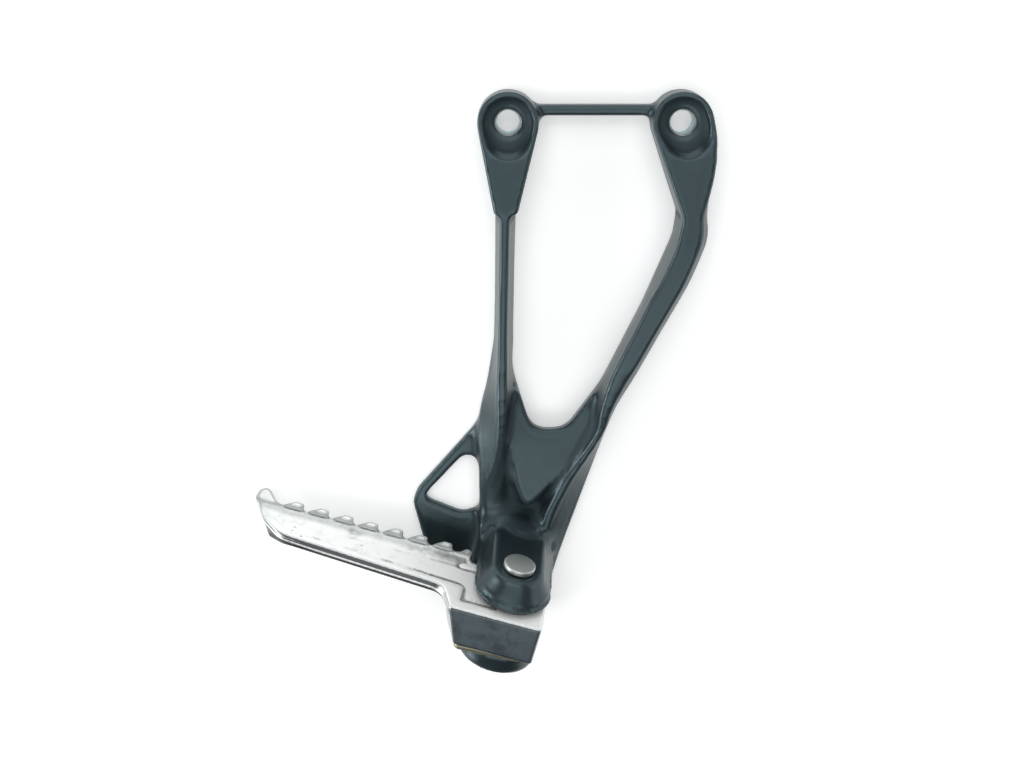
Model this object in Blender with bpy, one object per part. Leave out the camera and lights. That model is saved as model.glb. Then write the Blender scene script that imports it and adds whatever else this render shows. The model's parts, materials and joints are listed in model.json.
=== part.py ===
"""Folding passenger foot peg on its cast hanger, lying on its bolt faces with the peg folded.

Metres, +Z up. +X runs along the line of the two bolts, +Y from the clevis towards the bolts,
and +Z along the bolts, outwards from the motorcycle.
"""
import math

import bmesh
import bpy
import numpy as np
from mathutils import Matrix, Vector

MM = 0.001

# Bolt eyes, measured from the left bolt axis on the plane of the bolt faces
BOLT_PITCH = 64.0 * MM
BOLT_HOLE_D = 9.0 * MM
BOLT_SEAT_D = 18.4 * MM
BOLT_SEAT_Z = 12.0 * MM
EYE_R = 11.4 * MM
EYE_FRONT_Z = 16.0 * MM
EYE_FRONT_SLOPE = 0.12
EYE_DRAFT = 0.1 * MM
EYE_NECK_BEVEL = 0.8 * MM
EYE_NECK_Y = -33.0 * MM
SCOOP_ANGLE = math.radians(40.0)
SCOOP_HEIGHT = 14.0 * MM
SCOOP_INSET = 0.4 * MM
SCOOP_TURN_RIGHT = math.radians(25.0)
BAR_Y = 4.2 * MM
BAR_WIDTH = 4.0 * MM
BAR_Z = (3.0 * MM, 11.0 * MM)

# Pivot, from the left bolt axis to the middle of the peg's root
PIVOT_X = -0.5 * MM
PIVOT_Y = -183.2 * MM
PIVOT_Z = 35.5 * MM
PIVOT_LEAN_SIDE = math.radians(13.7)
PIVOT_LEAN_OUT = math.radians(12.0)
FOLD_PAST_FLAT = math.radians(4.0)
FOLD_TRAVEL = math.radians(94.0)

# Clearances
GAP = 0.3 * MM

# Pivot pin and its retainers
PIN_D = 8.0 * MM
PIN_HEAD_D = 12.2 * MM
PIN_HEAD_H = 2.2 * MM
PIN_TAIL = 2.2 * MM
PIN_CHAMFER = 0.7 * MM
THRUST_WASHER_D = 27.0 * MM
THRUST_WASHER_T = 0.8 * MM
PIN_WASHER_D = 16.0 * MM
PIN_WASHER_T = 1.4 * MM
CLIP_D = 13.0 * MM
CLIP_T = 1.0 * MM
CLIP_MOUTH = 5.0 * MM
CLIP_GROOVE_DEPTH = 1.0 * MM

# Peg root, blade and tread, from the pivot: u along the peg, v outwards, n along the pin
ROOT_HEIGHT = 16.7 * MM
ROOT_TOP = 7.5 * MM
ROOT_END = 14.0 * MM
ROOT_FACE = 18.3 * MM
ROOT_BACK = 13.2 * MM
ROOT_BACK_R = 12.5 * MM
ROOT_SIDE_TOP = 21.9 * MM
ROOT_SIDE_BOTTOM = 16.6 * MM
ROOT_SIDE_SPREAD = 4.4 * MM
PEG_LENGTH = 106.8 * MM
BLADE_T = 4.8 * MM
BLADE_EDGE_ROOT = 6.8 * MM
BLADE_EDGE_TIP = 0.4 * MM
BLADE_DRAFT = 0.6 * MM
TREAD_V = -15.3 * MM
TREAD_T = 4.0 * MM
TREAD_FAR = 7.3 * MM
TREAD_FLARE = 1.7 * MM
TIP_RISE = 9.4 * MM
TIP_SETBACK = 15.0 * MM
END_LEAN = 0.48
INNER_LIP_U = 18.0 * MM
INNER_LIP_RISE = 4.2 * MM
RIM_WIDTH = 3.2 * MM
RIM_STEP = 0.5 * MM
TOOTH_COUNT = 7
TOOTH_PITCH = 10.1 * MM
TOOTH_FIRST_U = 26.2 * MM
TOOTH_LENGTH = 7.5 * MM
TOOTH_RISE = 3.6 * MM
TOOTH_DEPTH = 1.6 * MM
TOOTH_PROUD = 0.8 * MM

# Detent: a sprung ball in the root that drops into holes of a fixed plate
BALL_D = 6.0 * MM
BALL_RADIUS_ON_PEG = 10.6 * MM
BALL_ANGLE = math.radians(20.0)
BALL_BORE_CLEAR = 0.3 * MM
BALL_BORE_DEPTH = 13.2 * MM
PLATE_T = 2.0 * MM
PLATE_HOLE_D = 4.6 * MM
PLATE_FRONT = 16.6 * MM
PLATE_RIGHT = 10.0 * MM
PLATE_BACK = 13.0 * MM
PLATE_TAB_LENGTH = 6.0 * MM
PLATE_TAB_WIDTH = 9.0 * MM
SPRING_D = 5.0 * MM
SPRING_WIRE = 0.7 * MM
SPRING_TURNS = 5

# Clevis of the bracket
EAR_R = 15.3 * MM
EAR_TOP_R = 9.7 * MM
EAR_RIM_H = 2.2 * MM
EAR_RIM_STEP = 1.1 * MM
UPPER_EAR_T = 10.5 * MM
LOWER_EAR_T = 8.4 * MM
CLEVIS_HORN = 32.0 * MM

# Hanger: ribs, web and lobe
STRUT_TOP_Z = 20.0 * MM
WEB_Z = 5.0 * MM
LOBE_Z = 9.0 * MM
LEDGE_Z = 14.0 * MM
HOLLOW_Z = 6.0 * MM
OUTER_BEVEL_Z = 14.0 * MM
OPENING_LEAN = 0.25

ARC_STEP = math.radians(9.0)
LOFT_STEPS = 4
ROUND_SEGMENTS = 48

# Sizes that follow from the ones above, in the clevis frame: z is along the pin
ROOT_BOTTOM = ROOT_TOP - ROOT_HEIGHT
THRUST_WASHER_Z = ROOT_TOP + GAP
UPPER_EAR_Z = THRUST_WASHER_Z + THRUST_WASHER_T + GAP
UPPER_EAR_TOP = UPPER_EAR_Z + UPPER_EAR_T
PLATE_TOP = ROOT_BOTTOM - GAP
LOWER_EAR_Z = PLATE_TOP - PLATE_T - GAP
LOWER_EAR_BOTTOM = LOWER_EAR_Z - LOWER_EAR_T
PIN_BORE_R = PIN_D / 2 + GAP
WALL_V = -(ROOT_END + 2 * GAP)
PLATE_LEFT = EAR_R + GAP + PLATE_T
PIN_WASHER_Z = LOWER_EAR_BOTTOM - GAP - PIN_WASHER_T
CLIP_TOP = PIN_WASHER_Z - GAP
PIN_END = CLIP_TOP - CLIP_T - PIN_TAIL
BALL_Z = PLATE_TOP + GAP + BALL_D / 2
TREAD_NEAR = ROOT_TOP + TREAD_FLARE

COLLECTION = bpy.data.collections.new("foot_peg")
CUTTERS = bpy.data.collections.new("cutters")


def clear_scene():
    """Removes every object, so the script can be run again in the same file."""
    for item in list(bpy.data.objects):
        bpy.data.objects.remove(item, do_unlink=True)
    for collection in (COLLECTION, CUTTERS):
        bpy.context.scene.collection.children.link(collection)


def paint(name, color, roughness, metallic):
    """A Principled material of one colour."""
    material = bpy.data.materials.new(name)
    material.use_nodes = True
    shader = material.node_tree.nodes["Principled BSDF"]
    shader.inputs["Base Color"].default_value = (*color, 1.0)
    shader.inputs["Roughness"].default_value = roughness
    shader.inputs["Metallic"].default_value = metallic
    return material


def empty_at(name, matrix, parent=None):
    """An empty that carries pieces at a frame of its own."""
    empty = bpy.data.objects.new(name, None)
    COLLECTION.objects.link(empty)
    empty.parent = parent
    empty.matrix_local = matrix
    return empty


def mesh_object(name, bm):
    """A new object from a finished bmesh, with its faces turned outwards."""
    bmesh.ops.recalc_face_normals(bm, faces=bm.faces)
    mesh = bpy.data.meshes.new(name)
    bm.to_mesh(mesh)
    bm.free()
    item = bpy.data.objects.new(name, mesh)
    CUTTERS.objects.link(item)
    return item


def loft(name, rings):
    """A closed solid through rings of equal point counts, capped at both ends."""
    bm = bmesh.new()
    layers = [[bm.verts.new(point) for point in ring] for ring in rings]
    count = len(layers[0])
    for lower, upper in zip(layers, layers[1:]):
        for i in range(count):
            j = (i + 1) % count
            bm.faces.new((lower[i], lower[j], upper[j], upper[i]))
    bm.faces.new(layers[0])
    bm.faces.new(layers[-1])
    bmesh.ops.triangulate(bm, faces=bm.faces)
    return mesh_object(name, bm)


def smoothed(rings):
    """More rings between the given ones, on Catmull-Rom curves through their points."""
    rows = np.array([[tuple(point) for point in ring] for ring in rings])
    padded = np.concatenate([2 * rows[:1] - rows[1:2], rows, 2 * rows[-1:] - rows[-2:-1]])
    layers = []
    for a, b, c, d in zip(padded, padded[1:], padded[2:], padded[3:]):
        for t in np.arange(LOFT_STEPS) / LOFT_STEPS:
            straight = 2 * b + (c - a) * t
            bend = (2 * a - 5 * b + 4 * c - d) * t ** 2 + (3 * b - a - 3 * c + d) * t ** 3
            layers.append((straight + bend) / 2)
    return [*layers, rows[-1]]


def rounded(corners):
    """A closed outline through (x, y, radius) corners, each corner turned by an arc."""
    points = []
    count = len(corners)
    for i, (x, y, radius) in enumerate(corners):
        corner = Vector((x, y))
        back = Vector(corners[i - 1][:2]) - corner
        ahead = Vector(corners[(i + 1) % count][:2]) - corner
        if radius == 0:
            points.append(corner)
            continue
        half = back.angle(ahead) / 2
        reach = min(radius / math.tan(half), 0.49 * back.length, 0.49 * ahead.length)
        bend = reach * math.tan(half)
        center = corner + (back.normalized() + ahead.normalized()).normalized() * bend / math.sin(half)
        first = corner + back.normalized() * reach - center
        last = corner + ahead.normalized() * reach - center
        turn = first.angle_signed(last)
        steps = max(1, math.ceil(abs(turn) / ARC_STEP))
        for k in range(steps + 1):
            points.append(center + Matrix.Rotation(-turn * k / steps, 2) @ first)
    return points


def prism(name, outline, low, high):
    """A flat outline made solid between two heights, from a filled 2D curve."""
    curve = bpy.data.curves.new(name, "CURVE")
    curve.dimensions = "2D"
    curve.fill_mode = "BOTH"
    curve.extrude = (high - low) / 2
    spline = curve.splines.new("POLY")
    spline.points.add(len(outline) - 1)
    for point, (x, y) in zip(spline.points, outline):
        point.co = (x, y, 0, 1)
    spline.use_cyclic_u = True
    return curve_to_mesh(name, curve, Matrix.Translation((0, 0, (low + high) / 2)))


def curve_to_mesh(name, curve, matrix):
    """A mesh object from a curve, with its caps welded and its place applied."""
    carrier = bpy.data.objects.new(name + "_curve", curve)
    CUTTERS.objects.link(carrier)
    bpy.context.view_layer.update()
    evaluated = carrier.evaluated_get(bpy.context.evaluated_depsgraph_get())
    mesh = bpy.data.meshes.new_from_object(evaluated)
    bpy.data.objects.remove(carrier)
    bm = bmesh.new()
    bm.from_mesh(mesh)
    bpy.data.meshes.remove(mesh)
    bmesh.ops.remove_doubles(bm, verts=bm.verts, dist=1e-7)
    bm.transform(matrix)
    return mesh_object(name, bm)


def cylinder(name, radius, low, high, x=0.0, y=0.0, segments=ROUND_SEGMENTS):
    """An upright round bar between two heights."""
    bm = bmesh.new()
    place = Matrix.Translation((x, y, (low + high) / 2))
    bmesh.ops.create_cone(bm, cap_ends=True, segments=segments, radius1=radius, radius2=radius,
                          depth=high - low, matrix=place)
    return mesh_object(name, bm)


def box(name, low, high):
    """A box between two corners."""
    bm = bmesh.new()
    low, high = Vector(low), Vector(high)
    size = Matrix.Diagonal((*(high - low), 1))
    bmesh.ops.create_cube(bm, size=1, matrix=Matrix.Translation((low + high) / 2) @ size)
    return mesh_object(name, bm)


def turned(name, profile):
    """A solid of revolution about Z, from a closed loop of (radius, height) points."""
    bm = bmesh.new()
    verts = [bm.verts.new((r, 0, z)) for r, z in profile]
    edges = [bm.edges.new((verts[i - 1], verts[i])) for i in range(len(verts))]
    bmesh.ops.spin(bm, geom=verts + edges, angle=2 * math.pi, steps=ROUND_SEGMENTS,
                   axis=(0, 0, 1), cent=(0, 0, 0), use_merge=True)
    bmesh.ops.remove_doubles(bm, verts=bm.verts, dist=1e-6)
    return mesh_object(name, bm)


def combine(target, tool, operation):
    """Joins or cuts one solid with another, and keeps the result as the target's mesh."""
    boolean = target.modifiers.new(operation.lower(), "BOOLEAN")
    boolean.operation = operation
    boolean.solver = "EXACT"
    boolean.object = tool
    bpy.context.view_layer.update()
    evaluated = target.evaluated_get(bpy.context.evaluated_depsgraph_get())
    mesh = bpy.data.meshes.new_from_object(evaluated)
    target.modifiers.clear()
    bm = bmesh.new()
    bm.from_mesh(mesh)
    bmesh.ops.remove_doubles(bm, verts=bm.verts, dist=2e-6)
    bmesh.ops.dissolve_degenerate(bm, dist=1e-6, edges=bm.edges)
    bm.to_mesh(mesh)
    bm.free()
    target.data = mesh
    bpy.data.objects.remove(tool)
    return target


def joined(*pieces):
    """One solid from several that overlap."""
    first = pieces[0]
    for piece in pieces[1:]:
        combine(first, piece, "UNION")
    return first


def moved(item, matrix):
    """Applies a place to an object's mesh."""
    item.data.transform(matrix)
    return item


def finish(item, name, material, parent):
    """Names a part, gives it its material and parent, and moves it among the parts."""
    item.name = name
    item.data.name = name
    item.data.materials.clear()
    item.data.materials.append(material)
    item.data.shade_smooth()
    item.data.set_sharp_from_angle(angle=math.radians(30.0))
    CUTTERS.objects.unlink(item)
    COLLECTION.objects.link(item)
    item.parent = parent
    return item


def teardrop(radius, left, right_side):
    """A circle about the origin drawn out to an end below it.

    A tangent runs to the left end, and the right side passes the given points, lowest first.
    """
    left, right = Vector(left), Vector(right_side[-1])
    start = math.atan2(right.y, right.x) + math.acos(radius / right.length)
    stop = math.atan2(left.y, left.x) - math.acos(radius / left.length)
    stop += 2 * math.pi if stop < start else 0
    angles = np.linspace(start, stop, ROUND_SEGMENTS // 2 + 1)
    arc = [(radius * math.cos(a), radius * math.sin(a)) for a in angles]
    return arc + [tuple(left)] + list(right_side)


def eye_pad(name, x, left, right_side):
    """A bolt eye: a drafted teardrop whose front face slopes up towards its strut."""
    bevel = EYE_NECK_BEVEL
    foot = teardrop(EYE_R + EYE_DRAFT / 2, left, right_side)
    crown_side = [(px - bevel, py) for px, py in right_side]
    crown = teardrop(EYE_R - EYE_DRAFT / 2, (left[0] + bevel, left[1]), crown_side)
    rings = [
        [(px + x, py, -7 * MM) for px, py in foot],
        [(px + x, py, EYE_FRONT_Z - EYE_FRONT_SLOPE * py) for px, py in crown],
    ]
    return loft(name, rings)


def eye_scoop(name, x, turn):
    """The slanted side of the bolt-head recess, which opens towards the strut."""
    shift = SCOOP_HEIGHT * math.tan(SCOOP_ANGLE)
    aim = Vector((math.sin(turn), -math.cos(turn))) * shift
    angles = np.linspace(0, 2 * math.pi, ROUND_SEGMENTS, endpoint=False)
    radius = BOLT_SEAT_D / 2 - SCOOP_INSET
    circle = [(radius * math.cos(a), radius * math.sin(a)) for a in angles]
    rings = [
        [(x + cx, cy, BOLT_SEAT_Z + SCOOP_INSET) for cx, cy in circle],
        [(x + cx + aim.x, cy + aim.y, BOLT_SEAT_Z + SCOOP_HEIGHT) for cx, cy in circle],
    ]
    return loft(name, rings)


def rib(name, stations):
    """A rib with a flat crest and sloping flanks, lofted through cuts across +Y.

    Each station is (y, foot left, crest left, crest right, foot right, crest height,
    height of the left foot, height of the right foot).
    """
    rings = []
    for y, foot_left, crest_left, crest_right, foot_right, crest_z, left_z, right_z in stations:
        rings.append([
            (foot_left, y, -2 * MM),
            (foot_right, y, -2 * MM),
            (foot_right, y, right_z),
            (crest_right, y, crest_z),
            (crest_left, y, crest_z),
            (foot_left, y, left_z),
        ])
    return loft(name, smoothed(rings))


def placed(rows, x):
    """Stations of a rib whose four widths are in millimetres from a place along +X."""
    return [(y, *(x + width * MM for width in (a, b, c, d)), *heights)
            for y, a, b, c, d, *heights in rows]


def hanger_left_rib(px, py):
    """The straight left strut, which broadens into the face beside the window."""
    z, low, mid = STRUT_TOP_Z, 2 * MM, LOBE_Z
    upper = [
        (EYE_NECK_Y + 6 * MM, -5.4, -3.0, 1.0, 3.4, z - 0.6 * MM, low, low),
        (EYE_NECK_Y - 5 * MM, -5.0, -3.0, 0.4, 2.8, z, low, low),
    ]
    lower = [
        (py + 105 * MM, -5.0, -3.2, 0.0, 2.5, z, low, low),
        (py + 88 * MM, -6.4, -3.6, -0.1, 2.8, z - 0.6 * MM, 3 * MM, 3 * MM),
        (py + 74 * MM, -10.0, -3.3, -0.4, 3.8, z - 1.6 * MM, 6 * MM, 6 * MM),
        (py + 62 * MM, -11.8, -3.2, -0.9, 1.7, z - 3.6 * MM, 8 * MM, 8 * MM),
        (py + 51 * MM, -11.3, -4.7, -1.1, 1.9, z - 6.6 * MM, mid, mid),
        (py + 40 * MM, -11.3, -7.9, -2.1, 4.1, z - 9.0 * MM, mid, HOLLOW_Z),
        (py + 31 * MM, -11.3, -8.9, -4.1, 5.5, z - 10.0 * MM, mid, HOLLOW_Z),
        (py + 23 * MM, -11.3, -8.9, -4.1, 5.5, z - 10.4 * MM, mid, HOLLOW_Z),
    ]
    return rib("left_rib", placed(upper, 0) + placed(lower, px))


def hanger_right_rib(px, py):
    """The curved right strut, which narrows to a crest along the right flank."""
    z, low, side = STRUT_TOP_Z, 2 * MM, OUTER_BEVEL_Z
    upper = [
        (EYE_NECK_Y + 9 * MM, -3.5, -1.0, 8.4, 11.0, z - 1.5 * MM, low, side),
        (EYE_NECK_Y, -0.5, 0.5, 7.7, 10.2, z, low, side),
        (EYE_NECK_Y - 7 * MM, -1.9, -0.6, 7.7, 10.6, z + 0.4 * MM, low, side),
        (EYE_NECK_Y - 13 * MM, -3.7, -2.0, 6.5, 9.7, z + 0.8 * MM, low, side),
        (EYE_NECK_Y - 25 * MM, -8.3, -7.0, 1.7, 5.1, z + MM, low, side),
        (EYE_NECK_Y - 33 * MM, -12.4, -11.4, -2.4, 1.1, z + MM, low, side),
    ]
    lower = [
        (py + 105 * MM, 46.5, 47.5, 55.5, 59.0, z + MM, low, side),
        (py + 93 * MM, 40.3, 41.7, 49.1, 52.6, z + MM, low, side),
        (py + 85 * MM, 36.0, 38.7, 44.5, 48.2, z + 0.4 * MM, low, side),
        (py + 74 * MM, 30.1, 36.1, 39.7, 42.4, z - 0.8 * MM, low, 12 * MM),
        (py + 64 * MM, 29.5, 34.3, 36.7, 39.1, z - 2.4 * MM, 5 * MM, 8 * MM),
        (py + 44 * MM, 18.0, 21.9, 24.3, 32.4, z - 4.6 * MM, 6 * MM, 6 * MM),
        (py + 28 * MM, 10.5, 14.7, 16.9, 27.0, z - 5.4 * MM, 6 * MM, 6 * MM),
        (py + 16 * MM, 6.5, 11.7, 14.5, 22.9, z - 6.0 * MM, 6 * MM, 6 * MM),
        (py - 4 * MM, 2.0, 4.0, 7.0, 16.4, z - 9 * MM, 6 * MM, 6 * MM),
    ]
    return rib("right_rib", placed(upper, BOLT_PITCH) + placed(lower, px))


def hanger_web(px, py):
    """The low web that joins the ribs, the lobe and the clevis."""
    outline = rounded([
        (px - 5 * MM, py + 100 * MM, 0),
        (px - 7.2 * MM, py + 86 * MM, 20 * MM),
        (px - 11.2 * MM, py + 66 * MM, 16 * MM),
        (px - 36.0 * MM, py + 37.4 * MM, 6 * MM),
        (px - 37.9 * MM, py + 32 * MM, 3 * MM),
        (px - 33 * MM, py + 12 * MM, 12 * MM),
        (px - 13 * MM, py - 11 * MM, 8 * MM),
        (px + 14.4 * MM, py - 14 * MM, 8 * MM),
        (px + 22.0 * MM, py + 14 * MM, 30 * MM),
        (px + 37.8 * MM, py + 62 * MM, 20 * MM),
        (px + 48.8 * MM, py + 84 * MM, 0),
        (px + 40 * MM, py + 100 * MM, 0),
    ])
    return prism("web", outline, -3 * MM, WEB_Z)


def hanger_lobe(px, py):
    """The lobe's arms round the triangular window, and the ledge along the window's lower side."""
    upper = rounded([
        (px - 3 * MM, py + 74 * MM, 0),
        (px - 10.0 * MM, py + 73 * MM, 8 * MM),
        (px - 12.4 * MM, py + 65.6 * MM, 14 * MM),
        (px - 37.1 * MM, py + 38.0 * MM, 5 * MM),
        (px - 39.4 * MM, py + 32.7 * MM, 4 * MM),
        (px - 35.9 * MM, py + 19.7 * MM, 3 * MM),
        (px - 19.5 * MM, py + 11.2 * MM, 0),
        (px - 3 * MM, py + 13.2 * MM, 0),
    ])
    arms = prism("lobe_arms", upper, -5 * MM, LOBE_Z)
    rings = []
    for x, wall_y, crest_y, crest_z in (
        (px - 37.0 * MM, py + 34.6 * MM, py + 34.4 * MM, LOBE_Z + MM),
        (px - 31.0 * MM, py + 32.6 * MM, py + 32.4 * MM, LEDGE_Z - MM),
        (px - 18.5 * MM, py + 27.4 * MM, py + 24.5 * MM, LEDGE_Z),
        (px - 14.1 * MM, py + 27.6 * MM, py + 24.2 * MM, LEDGE_Z),
        (px - 8.0 * MM, py + 29.4 * MM, py + 26.2 * MM, LEDGE_Z),
    ):
        rings.append([
            (x, wall_y + 3 * MM, -6 * MM),
            (x, wall_y + 0.4 * MM, WEB_Z),
            (x, crest_y, crest_z),
            (x, crest_y - 11 * MM, LOBE_Z - 0.8 * MM),
            (x, crest_y - 11 * MM, -6 * MM),
        ])
    return joined(arms, loft("lobe_ledge", smoothed(rings)))


def hanger_shoulder(px, py):
    """The shoulder in front of the clevis, from the left horn through a dip to the right horn."""
    rings = []
    for x, crest_y, crest_z in (
        (px - 11.0 * MM, py + 25.4 * MM, 13.6 * MM),
        (px - 5.8 * MM, py + 26.7 * MM, 13.8 * MM),
        (px - 0.2 * MM, py + 24.8 * MM, 15.4 * MM),
        (px + 5.3 * MM, py + 22.7 * MM, 18.6 * MM),
        (px + 13.1 * MM, py + 21.3 * MM, 17.0 * MM),
        (px + 17.4 * MM, py + 18.8 * MM, 14.4 * MM),
    ):
        rings.append([
            (x, crest_y - 14 * MM, -8 * MM),
            (x, crest_y + 8 * MM, -8 * MM),
            (x, crest_y + 7.5 * MM, HOLLOW_Z),
            (x, crest_y + 2.3 * MM, crest_z - 2.6 * MM),
            (x, crest_y + 1.6 * MM, crest_z - 1.0 * MM),
            (x, crest_y + 0.6 * MM, crest_z - 0.2 * MM),
            (x, crest_y - 0.8 * MM, crest_z),
            (x, crest_y - 14 * MM, crest_z),
        ])
    return loft("shoulder", smoothed(rings))


def hanger_prow(px, py):
    """The dished web between the ribs, which rises to a V-shaped front with a bevelled left edge."""
    rings = []
    for y, outer_left, left, right, left_z, middle_z, right_z in (
        (py + 80 * MM, -1.5, -0.5, 36.5, 11.0, 10.7, 12.5),
        (py + 62 * MM, -0.7, 1.5, 32.5, 13.6, 12.2, 13.0),
        (py + 55 * MM, -0.1, 2.3, 27.4, 13.9, 12.8, 13.4),
        (py + 49 * MM, 0.8, 3.2, 21.3, 14.1, 13.2, 13.8),
        (py + 44 * MM, 1.9, 3.9, 18.0, 14.2, 13.5, 13.9),
        (py + 37 * MM, 4.4, 5.7, 12.1, 14.2, 13.8, 14.0),
        (py + 32.8 * MM, 6.6, 7.0, 7.8, 14.0, 13.9, 14.0),
    ):
        outer_left, left, right = (px + side * MM for side in (outer_left, left, right))
        rings.append([
            (outer_left - MM, y, -4 * MM),
            (right + 2 * MM, y, -4 * MM),
            (right + 0.6 * MM, y, (right_z - 1.2) * MM),
            (right, y, right_z * MM),
            ((left + right) / 2, y, middle_z * MM),
            (left, y, left_z * MM),
            (outer_left, y, (left_z - 2.4) * MM),
        ])
    return loft("prow", smoothed(rings))


def opening_between_struts(px, py):
    """The long opening between the two struts, closed by a round bottom that is undercut towards the back."""
    ex = BOLT_PITCH
    outline = rounded([
        (3.6 * MM, EYE_NECK_Y, 0),
        (px + 2.6 * MM, py + 104 * MM, 30 * MM),
        (px + 1.9 * MM, py + 90 * MM, 30 * MM),
        (px + 9.6 * MM, py + 65.3 * MM, 7 * MM),
        (px + 22.8 * MM, py + 65.3 * MM, 9 * MM),
        (px + 36.9 * MM, py + 85 * MM, 30 * MM),
        (px + 52.4 * MM, py + 117.2 * MM, 40 * MM),
        (ex - 1.4 * MM, EYE_NECK_Y - 7 * MM, 14 * MM),
        (ex - 0.6 * MM, EYE_NECK_Y, 0),
    ])
    lean = Matrix(((1, 0, 0, 0), (0, 1, OPENING_LEAN, -OPENING_LEAN * 12 * MM), (0, 0, 1, 0), (0, 0, 0, 1)))
    return moved(prism("strut_opening", outline, -10 * MM, 40 * MM), lean)


def lobe_window(px, py):
    """The triangular window in the lobe."""
    outline = rounded([
        (px - 11.2 * MM, py + 58.8 * MM, 4.5 * MM),
        (px - 33.9 * MM, py + 33.9 * MM, 1.8 * MM),
        (px - 18.0 * MM, py + 27.2 * MM, 7 * MM),
        (px - 11.2 * MM, py + 29.2 * MM, 3 * MM),
    ])
    return prism("window", outline, -10 * MM, 40 * MM)


def stadium(radius, back):
    """A round front about the pivot with straight sides running back, in the clevis frame."""
    angles = np.linspace(0, math.pi, math.ceil(math.pi / ARC_STEP) + 1)
    arc = [(radius * math.cos(a), radius * math.sin(a)) for a in angles]
    return arc + [(-radius, -back), (radius, -back)]


def clevis_block():
    """The two ears and the wall behind them, before the slot is cut, with a rim on the upper ear."""
    reach = PIVOT_Z / math.cos(PIVOT_LEAN_OUT) + 12 * MM
    rim = UPPER_EAR_Z + EAR_RIM_H
    rings = [
        [(x, y, LOWER_EAR_BOTTOM) for x, y in stadium(EAR_R, reach)],
        [(x, y, rim) for x, y in stadium(EAR_R, reach)],
        [(x, y, rim + 0.4 * MM) for x, y in stadium(EAR_R - EAR_RIM_STEP, reach)],
        [(x, y, UPPER_EAR_TOP) for x, y in stadium(EAR_TOP_R, CLEVIS_HORN)],
    ]
    return loft("clevis", rings)


def clevis_frame():
    """The clevis frame: X towards the folded peg, Y outwards and Z along the pin."""
    side, out = PIVOT_LEAN_SIDE, PIVOT_LEAN_OUT
    along = Vector((-math.cos(side), math.sin(side), 0))
    pin = Vector((math.sin(side) * math.cos(out), math.cos(side) * math.cos(out), math.sin(out)))
    outwards = pin.cross(along)
    turn = Matrix((along, outwards, pin)).transposed().to_4x4()
    return Matrix.Translation((PIVOT_X, PIVOT_Y, PIVOT_Z)) @ turn


def make_bracket(root, material):
    """The cast hanger: two bolt eyes, two struts, a web with a lobe, and the clevis."""
    frame = clevis_frame()
    px, py = PIVOT_X, PIVOT_Y
    bracket = joined(hanger_web(px, py), hanger_lobe(px, py), moved(clevis_block(), frame))
    joined(bracket, hanger_shoulder(px, py), hanger_prow(px, py))
    joined(bracket, hanger_right_rib(px, py), hanger_left_rib(px, py))
    combine(bracket, opening_between_struts(px, py), "DIFFERENCE")
    combine(bracket, lobe_window(px, py), "DIFFERENCE")
    right_side = [
        (9.6 * MM, EYE_NECK_Y + 1.5 * MM),
        (10.6 * MM, EYE_NECK_Y + 5 * MM),
        (12.4 * MM, EYE_NECK_Y + 12.5 * MM),
        (13.3 * MM, -14 * MM),
        (13.3 * MM, -5 * MM),
    ]
    bar_low = (EYE_R - 3 * MM, BAR_Y - BAR_WIDTH / 2, BAR_Z[0])
    bar_high = (BOLT_PITCH - EYE_R + 3 * MM, BAR_Y + BAR_WIDTH / 2, BAR_Z[1])
    joined(
        bracket,
        eye_pad("left_eye", 0, (-6.0 * MM, EYE_NECK_Y), [(4.3 * MM, EYE_NECK_Y)]),
        eye_pad("right_eye", BOLT_PITCH, (-0.3 * MM, EYE_NECK_Y - 1.4 * MM), right_side),
        box("cross_bar", bar_low, bar_high),
    )
    for x, turn in ((0, 0), (BOLT_PITCH, SCOOP_TURN_RIGHT)):
        combine(bracket, cylinder("seat", BOLT_SEAT_D / 2, BOLT_SEAT_Z, 40 * MM, x), "DIFFERENCE")
        combine(bracket, eye_scoop("scoop", x, turn), "DIFFERENCE")
        combine(bracket, cylinder("bolt_hole", BOLT_HOLE_D / 2, -MM, 40 * MM, x), "DIFFERENCE")
    slot = box("slot", (-60 * MM, WALL_V, LOWER_EAR_Z), (60 * MM, 60 * MM, UPPER_EAR_Z))
    combine(bracket, moved(slot, frame), "DIFFERENCE")
    bore = cylinder("pin_bore", PIN_BORE_R, LOWER_EAR_BOTTOM - MM, UPPER_EAR_TOP + MM)
    combine(bracket, moved(bore, frame), "DIFFERENCE")
    below = box("below", (-0.3, PIVOT_Y - 0.3, -0.1), (0.3, 0.3, 0))
    combine(bracket, below, "DIFFERENCE")
    return finish(bracket, "bracket", material, root)


def along_peg(section, start, stop):
    """A (v, n) section carried along the peg's length."""
    lay = Matrix(((0, 0, 1, 0), (1, 0, 0, 0), (0, 1, 0, 0), (0, 0, 0, 1)))
    return moved(prism("section", section, start, stop), lay)


def peg_root():
    """The hinge block at the inner end, with its left side drawn in towards the bottom."""
    rings = []
    for n, side in ((ROOT_BOTTOM, ROOT_SIDE_BOTTOM), (ROOT_TOP, ROOT_SIDE_TOP)):
        outline = rounded([
            (-ROOT_END, -ROOT_BACK, ROOT_BACK_R),
            (side - 2 * MM, -ROOT_BACK, 0),
            (side + ROOT_SIDE_SPREAD, BLADE_EDGE_ROOT - MM, 0),
            (side, ROOT_FACE, 1.2 * MM),
            (-ROOT_END, ROOT_FACE, 1.2 * MM),
        ])
        rings.append([(p.x, p.y, n) for p in outline])
    return loft("root", rings)


def blade_edge(u):
    """How far outwards the blade reaches, at a place along the peg."""
    share = (u - ROOT_SIDE_TOP) / (PEG_LENGTH - ROOT_SIDE_TOP)
    return BLADE_EDGE_ROOT + share * (BLADE_EDGE_TIP - BLADE_EDGE_ROOT)


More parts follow.
